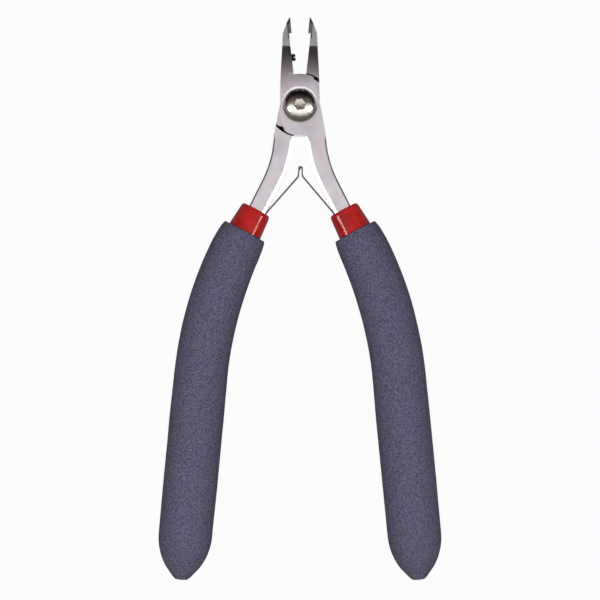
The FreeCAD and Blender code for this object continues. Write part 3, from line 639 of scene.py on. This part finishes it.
# %% [markdown]
# The stop screw keeps the blades from crossing. It is a tiny black grub screw through one jaw, and its
# thread shows in the gap. The thread's outline is a zigzag of crests and roots, spun round the screw's
# own axis. A true helix would look the same at this size and take far more faces. A driver's slot
# crosses its inner end, and a Boolean modifier cuts that from the spun shape.

# %% Spin the stop screw
STOP_Y, STOP_DROP = 13.35 * MM, 0.3 * MM
STOP_FROM, STOP_TO = -3.3 * MM, 0.3 * MM
STOP_CREST, STOP_ROOT, STOP_SOCKET = 1.09 * MM, 0.88 * MM, 0.45 * MM
THREAD_PITCH = 0.36 * MM
SLOT_WIDTH, SLOT_DEPTH = 0.36 * MM, 0.5 * MM


def cut_away(made, tool):
    """Cuts a tool's shape out of a piece, and keeps only the result."""
    mesh = bpy.data.meshes.new("tool")
    tool.to_mesh(mesh)
    tool.free()
    cutter = bpy.data.objects.new("tool", mesh)
    bpy.context.scene.collection.objects.link(cutter)
    modifier = made.modifiers.new("cut", "BOOLEAN")
    modifier.object, modifier.operation, modifier.solver = cutter, "DIFFERENCE", "EXACT"
    seen = made.evaluated_get(bpy.context.evaluated_depsgraph_get())
    result = bpy.data.meshes.new_from_object(seen)
    made.modifiers.remove(modifier)
    made.data = result
    bpy.data.objects.remove(cutter)
    print(made.name, "cut,", len(result.polygons), "faces")


def make_stop_screw():
    bm = bmesh.new()
    turns = int((STOP_TO - STOP_FROM) / THREAD_PITCH) - 1
    profile = [(0, STOP_FROM + 0.85 * MM), (STOP_SOCKET, STOP_FROM + 0.8 * MM), (STOP_SOCKET, STOP_FROM),
               (STOP_ROOT, STOP_FROM)]
    start = STOP_FROM + THREAD_PITCH / 2
    for turn in range(turns):
        crest = start + turn * THREAD_PITCH
        profile += [(STOP_CREST, crest + 0.35 * THREAD_PITCH), (STOP_CREST, crest + 0.5 * THREAD_PITCH),
                    (STOP_ROOT, crest + 0.85 * THREAD_PITCH), (STOP_ROOT, crest + THREAD_PITCH)]
    profile += [(STOP_ROOT, STOP_TO - 0.08 * MM), (STOP_ROOT - 0.1 * MM, STOP_TO), (0, STOP_TO)]
    lathe(bm, profile)
    along = Matrix.Translation((0, STOP_Y, -STOP_DROP)) @ Matrix.Rotation(math.radians(90), 4, "Y")
    bmesh.ops.transform(bm, matrix=lever_place(1) @ along, verts=bm.verts)
    made = piece("stop_screw_threaded", bm, black_steel)
    blade = bmesh.new()
    bmesh.ops.create_cube(blade, size=1)
    bmesh.ops.scale(blade, vec=(4 * STOP_CREST, SLOT_WIDTH, 2 * SLOT_DEPTH), verts=blade.verts)
    bmesh.ops.translate(blade, vec=(0, 0, STOP_TO), verts=blade.verts)
    bmesh.ops.transform(blade, matrix=lever_place(1) @ along, verts=blade.verts)
    cut_away(made, blade)
    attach(made, "front_side")
    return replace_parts(made, "stop_screw")


make_stop_screw()

# %% [markdown]
# Each grip is a foam tube pushed over the sleeve. It leaves the sleeve straight, follows a long bow and
# then runs straight to a blunt nose. Loops are set along that line and skinned. Foam is cut by hand and
# never quite true, so each point is moved a few hundredths of a millimetre by slow noise. Its bore is
# skinned the same way, so that the piece is a real tube and not a shell.

# %% The line of a handle
LEAD = 6.4 * MM
BOW_RADIUS, BOW_TURN = 107.4 * MM, math.radians(22.8)
TAIL = 55.7 * MM
BOW_LENGTH = BOW_RADIUS * BOW_TURN


def along_handle(name, reach):
    """The place on a handle's centre line, reach metres past the grip's mouth."""
    side = SIDES[name]
    turn = min(reach, BOW_LENGTH) / BOW_RADIUS
    centre = Matrix.Translation((-side * BOW_RADIUS, 0, 0))
    bow = centre @ Matrix.Rotation(-side * turn, 4, "Z") @ centre.inverted()
    straight = Matrix.Translation((0, -max(0.0, reach - BOW_LENGTH), 0))
    return handle_place(name) @ Matrix.Translation((0, -LEAD, 0)) @ bow @ straight


print("bow in mm", round(BOW_LENGTH / MM, 2))

# %% Skin the two foam grips
GRIP_START = 0.4
GRIP_SIZES = [(0.4, 6.05), (0.6, 6.22), (1.4, 6.45), (3, 6.70), (6, 6.93), (12, 7.10), (18, 7.20), (24, 7.29),
              (39, 7.36), (54, 7.48), (72, 7.48), (84, 7.40)]
BORE_RADIUS = 4.78
BORE_REACH = 80.0
NOSE_LENGTH, NOSE_END = 12.5, 1.6
GRIP_SEGMENTS = 72


def grip_radius(reach):
    """The foam's radius at a distance from its mouth, both in millimetres."""
    length = (BOW_LENGTH + TAIL) / MM
    if reach > length - NOSE_LENGTH:
        start = grip_radius(length - NOSE_LENGTH)
        drop = start - NOSE_END
        arc = (drop ** 2 + NOSE_LENGTH ** 2) / (2 * drop)
        into = reach - (length - NOSE_LENGTH)
        return start - arc + math.sqrt(arc ** 2 - into ** 2)
    for (near, small), (far, large) in zip(GRIP_SIZES, GRIP_SIZES[1:]):
        if reach <= far:
            share = (reach - near) / (far - near)
            return small + (large - small) * share
    return GRIP_SIZES[-1][1]


def roughen(loop, centre):
    """Moves a loop's points a little towards or away from the handle's line."""
    for vertex in {v for e in loop for v in e.verts}:
        wave = noise.noise(vertex.co / (9 * MM)) + 0.5 * noise.noise(vertex.co / (2.5 * MM))
        vertex.co = centre + (vertex.co - centre) * (0.997 + 0.006 * min(wave, 0.7))


def make_grip(name, body):
    bm = bmesh.new()
    length = (BOW_LENGTH + TAIL) / MM
    reaches = [GRIP_START + step for step in (0, 0.1, 0.3, 0.7, 1.1)]
    reaches += [2.0 + step for step in range(int(length - 3.5))]
    reaches += [length - 0.9, length - 0.45, length - 0.15]
    outside = [round_loop(bm, along_handle(name, reach * MM), grip_radius(reach) * MM, GRIP_SEGMENTS)
               for reach in reaches]
    outside.append(round_loop(bm, along_handle(name, length * MM), 0.9 * MM, GRIP_SEGMENTS))
    skin(bm, outside, caps=False)
    bmesh.ops.contextual_create(bm, geom=outside[-1])
    for reach, loop in zip(reaches, outside):
        roughen(loop, along_handle(name, reach * MM).translation)
    depths = [GRIP_START] + [2.0 * step for step in range(1, int(BORE_REACH / 2) + 1)]
    bore = [round_loop(bm, along_handle(name, depth * MM), BORE_RADIUS * MM, GRIP_SEGMENTS)
            for depth in depths]
    skin(bm, bore, caps=False)
    bmesh.ops.contextual_create(bm, geom=bore[-1])
    bmesh.ops.bridge_loops(bm, edges=outside[0] + bore[0])
    made = piece(f"{name}_foam_tube", bm, foam, 60)
    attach(made, body)
    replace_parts(made, f"{name}_foam_grip")
    return made


for name, body in (("left", "back_side"), ("right", "front_side")):
    make_grip(name, body)

# %% [markdown]
# The springs are strips of tempered steel. Each one is clamped inside its sleeve, leaves at the mouth
# and pushes against the other, and one of them ends in a hook that the other's end sits in. The hook is
# on the right one here and on the left one in the imported part, a difference that isn't settled. Walking
# along the strip like a turtle keeps the bends simple: go forward, turn, go forward. A turn is shared
# by a few short steps, because bent strip has a radius.

# %% Bend the leaf springs
STRIP_THICK, STRIP_WIDTH = 0.38 * MM, 3.2 * MM
LEAF_LENGTH, ELBOW_LENGTH, ELBOW_TURN = 12.7, 0.55, 10.5
BEND_STEPS = 5


def make_spring(name, flare, tab, tab_turn, hook):
    side = SIDES[name]
    bm = bmesh.new()
    place = handle_place(name) @ Matrix.Translation((-side * FOOT_OFFSET, HINGE_LIFT, 0))
    stations = [place @ Matrix.Translation((0, -back * MM, 0)) for back in (6.0, 4.0, 2.0, 1.0, 0.5, 0.2)]
    runs = [(side * flare, LEAF_LENGTH, 13), (-side * ELBOW_TURN, ELBOW_LENGTH, 2),
            (-side * tab_turn, tab, 3)]
    if hook:
        runs += [(side * 136, 0.75, 2), (side * 40, 0.5, 2)]
    for turn, length, steps in runs:
        bend = BEND_STEPS if abs(turn) < 90 else 3 * BEND_STEPS
        sweep = 0.24 * MM * abs(math.radians(turn))
        for _ in range(bend):
            place = place @ Matrix.Rotation(math.radians(turn / bend), 4, "Z")
            place = place @ Matrix.Translation((0, sweep / bend, 0))
            stations.append(place)
        for _ in range(steps):
            place = place @ Matrix.Translation((0, (length * MM - sweep) / steps, 0))
            stations.append(place)
    skin(bm, [strip_loop(bm, station, STRIP_THICK, STRIP_WIDTH) for station in stations])
    made = piece(f"{name}_leaf_strip", bm, spring_steel, 40)
    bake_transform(made)
    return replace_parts(made, f"{name}_spring_leaf", f"{name}_spring_foot")


make_spring("left", 13.1, 2.7, 25, False)
make_spring("right", 11.9, 2.1, 29, True)

# %% [markdown]
# The rivets that clamp the springs sit inside the sleeves, where nobody sees them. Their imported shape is
# right already, so they only need the tempered finish, given to the material slot of the object.

# %% Dress the rivets
for name in SIDES:
    rivet = frame["nodes"][f"{name}_spring_rivet"]
    rivet.data.materials.clear()
    rivet.data.materials.append(spring_steel)
print("rivets dressed")

# %% [markdown]
# The table is one white sheet. Seen by the camera, or mirrored in the steel, most of its white is its
# own, so it stays white wherever the lamps are. The rest is ordinary matt white that catches light, and
# that part keeps the soft shadow which says that the tool lies on something.

# %% The white table
def make_table():
    bm = bmesh.new()
    bmesh.ops.create_grid(bm, x_segments=1, y_segments=1, size=3.0)
    bmesh.ops.translate(bm, vec=(0, 0, cad_box[0].z - 0.05 * MM), verts=bm.verts)
    mesh = bpy.data.meshes.new("table")
    bm.to_mesh(mesh)
    bm.free()
    f = finish_named("white_table")
    share = 0.96 * f.background_seen()
    matt = f.node("BsdfDiffuse", {}, {"Color": (0.32, 0.32, 0.32, 1)})
    glow = f.node("Emission", {}, {"Color": (1, 1, 1, 1), "Strength": 1.0})
    both = f.node("MixShader", {}, {0: share, 1: matt, 2: glow})
    f.node("OutputMaterial", {}, {"Surface": both})
    mesh.materials.append(f.owner)
    table = bpy.data.objects.new("table", mesh)
    bpy.context.scene.collection.objects.link(table)


make_table()
print("table set")

# %% [markdown]
# Steel shows what stands round it, so the studio is drawn once, as a dome that only mirrors see. Its
# levels were settled for the view from straight above, and other views mirror other parts of it.
# Straight above it is pale. Its far side falls to black, which helps to darken the hollow of the jaws and
# the top of the screw's dome by degrees. Its near side holds a broad soft box, bent round the table, and
# low on each side a small hard box draws the thin streak on the red sleeve that faces it.

# %% The studio that the steel mirrors
DOME_RADIUS = 0.9


def hard_box(f, across, depth, up, side):
    """A soft-edged patch on the dome, at one heading and one height."""
    heading, height = math.radians(-90 + side * BOX_HEADING), math.radians(BOX_HEIGHT)
    toward = across * math.cos(heading) + depth * math.sin(heading)
    beside = f.sum("ABSOLUTE", across * math.sin(heading) - depth * math.cos(heading))
    return (f.spread(toward, 0.0, 0.1) * (1 - f.spread(beside, 0.13, 0.19))
            * f.spread(up, math.sin(height) - 0.14, math.sin(height) - 0.08)
            * (1 - f.spread(up, math.sin(height) + 0.07, math.sin(height) + 0.11)))


BOX_HEADING, BOX_HEIGHT, BOX_LEVEL = 74, 28, 36.0


def studio_level(f):
    way = f.node("VectorMath", {"operation": "NORMALIZE"}, {0: f.node("TexCoord", output="Object")})
    across, depth, up = (f.node("SeparateXYZ", {}, {0: way}, axis) for axis in "XYZ")
    far = f.spread(depth, 0.03, 0.30, 1.0, 0.26) * f.spread(depth, 0.15, 0.95, 1.0, 0.20)
    sideways = f.spread(f.sum("ABSOLUTE", across), 0.25, 0.70)
    near = f.spread(depth - 0.36 * sideways, -0.25, -0.45, 1.0, 1.5)
    low = f.spread(up + 0.16 * sideways, 0.86, 0.32, 1.0, 0.10)
    boxes = hard_box(f, across, depth, up, 1) + hard_box(f, across, depth, up, -1)
    tint = f.mix(f.spread(depth, 0.0, 0.25), (1, 1, 1, 1), (1.0, 0.86, 0.86, 1))
    return far * near * low + BOX_LEVEL * boxes, tint


def make_studio():
    bm = bmesh.new()
    bmesh.ops.create_uvsphere(bm, u_segments=96, v_segments=48, radius=DOME_RADIUS)
    below = [vert for vert in bm.verts if vert.co.z < -1e-6]
    bmesh.ops.delete(bm, geom=below, context="VERTS")
    bmesh.ops.reverse_faces(bm, faces=bm.faces)
    mesh = bpy.data.meshes.new("studio_dome")
    bm.to_mesh(mesh)
    bm.free()
    f = finish_named("studio_dome")
    level, tint = studio_level(f)
    f.node("OutputMaterial", {}, {"Surface": f.node("Emission", {}, {"Color": tint, "Strength": level})})
    mesh.materials.append(f.owner)
    dome = bpy.data.objects.new("studio_dome", mesh)
    bpy.context.scene.collection.objects.link(dome)
    dome.visible_camera = dome.visible_diffuse = dome.visible_shadow = dome.visible_transmission = False


make_studio()
print("studio drawn")

# %% [markdown]
# The light itself is a plain white room and one broad soft box straight above. The room's share is
# lowered and slightly warm, so the sides of the round grips turn down and redden as they leave the lamp.

# %% The room and the lamp
def make_room(strength, tint):
    world = bpy.data.worlds.new("white_room")
    bpy.context.scene.world = world
    f = Finish(world)
    seen = f.background_seen()
    colour = f.mix(seen, tint, (1, 1, 1, 1))
    glow = f.node("Background", {}, {"Color": colour, "Strength": strength + (1.0 - strength) * seen})
    f.node("OutputWorld", {}, {"Surface": glow})


def make_lamp(name, place, target, watts, width, height):
    light = bpy.data.lights.new(name, "AREA")
    light.shape, light.size, light.size_y, light.energy = "RECTANGLE", width, height, watts
    light.color = (0.91, 0.97, 1.0)
    lamp = bpy.data.objects.new(name, light)
    lamp.location = place
    lamp.rotation_euler = (target - place).to_track_quat("-Z", "Y").to_euler()
    bpy.context.scene.collection.objects.link(lamp)
    lamp.visible_camera = lamp.visible_glossy = False


make_room(0.15, (1.0, 0.60, 0.62, 1))
make_lamp("key_box", Vector((0, -0.10, 0.90)), Vector((0, 0, pivot.z)), 7.8, 0.30, 0.30)
print("room and lamp")

# %% [markdown]
# The camera hangs straight above the tool, with a long lens, as over a copy stand. A long lens keeps the
# two handles from leaning. Its height follows from the width of table that the picture takes in.

# %% The camera
PICTURE_WIDTH = 165 * MM
camera_data = bpy.data.cameras.new("overhead_camera")
camera_data.lens, camera_data.sensor_width = 120, 36
camera = bpy.data.objects.new("overhead_camera", camera_data)
camera_height = PICTURE_WIDTH * camera_data.lens / camera_data.sensor_width
camera.location = (0.03 * MM, pivot.y - 53.49 * MM, pivot.z + camera_height)
bpy.context.scene.collection.objects.link(camera)
bpy.context.scene.camera = camera
bpy.context.scene.view_settings.view_transform = "Standard"
print("camera at", round(camera_height, 3), "m")
